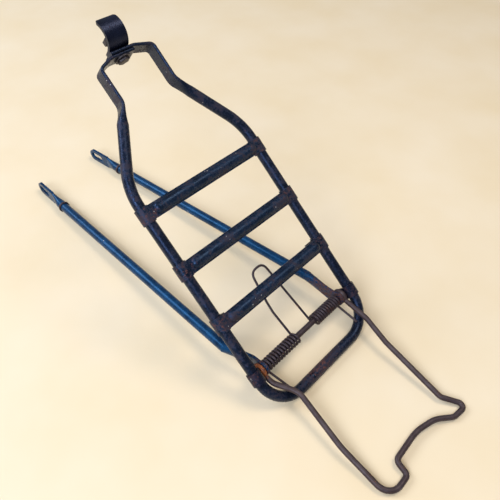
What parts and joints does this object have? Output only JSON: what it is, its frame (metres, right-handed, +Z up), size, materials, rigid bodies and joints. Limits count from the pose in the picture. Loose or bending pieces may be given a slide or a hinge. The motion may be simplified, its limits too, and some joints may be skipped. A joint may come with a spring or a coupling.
{
  "type": "bicycle rear carrier",
  "caption": "Tubular bicycle rear carrier with pressed crossbars, folding stays, a sprung wire bail and a curled front clamp plate.",
  "frame": {"origin": "on the table, under the middle of the object's outline", "axes": "+X to the carrier's right, +Y towards the front clamp and the feet of the stays, +Z up"},
  "size_m": [0.1466, 0.5295, 0.2417],
  "materials": {
    "black_paint": "worn gloss black paint with rust",
    "stay_paint": "worn gloss black paint",
    "dark_steel": "dull rusted bare steel",
    "spring_steel": "dull spring steel with rust",
    "bolt_steel": "oxidised plain steel"
  },
  "bodies": {
    "carrier": {"frame_tube": "black_paint", "crossbar_rear": "black_paint", "crossbar_middle": "black_paint", "crossbar_front": "black_paint", "left_hinge_strap": "black_paint", "right_hinge_strap": "black_paint", "pivot_rod": "dark_steel", "torsion_spring": "spring_steel", "clamp_washer": "bolt_steel", "clamp_bolt": "bolt_steel"},
    "bail": {"bail": "dark_steel"},
    "left_stay": {"left_leg": "stay_paint", "left_foot_clip": "spring_steel"},
    "right_stay": {"right_leg": "stay_paint", "right_foot_clip": "spring_steel"},
    "plate": {"clamp_plate": "black_paint"},
    "nut": {"clamp_nut": "bolt_steel"}
  },
  "joints": [
    {"name": "left_stay_fold", "type": "hinge", "parent": "carrier", "child": "left_stay", "pos_m": [-0.0535, -0.11776, 0.02306], "axis": [1, 0, 0], "range_deg": [-122, 32]},
    {"name": "right_stay_fold", "type": "hinge", "parent": "carrier", "child": "right_stay", "pos_m": [0.0535, -0.11776, 0.02306], "axis": [1, 0, 0], "range_deg": [-122, 32]},
    {"name": "bail_swing", "type": "hinge", "parent": "carrier", "child": "bail", "pos_m": [0, -0.11776, 0.02306], "axis": [-1, 0, 0], "range_deg": [0, 126], "deforming": ["torsion_spring"]},
    {"name": "clamp_swivel", "type": "hinge", "parent": "carrier", "child": "plate", "pos_m": [-0.002, 0.10395, 0.217], "axis": [0, 0.766, 0.6428], "range_deg": [-90, 90]},
    {"name": "nut_travel", "type": "slide", "parent": "carrier", "child": "nut", "axis": [0, 0.766, 0.6428], "range_m": [-0.0031, 0.002]}
  ]
}
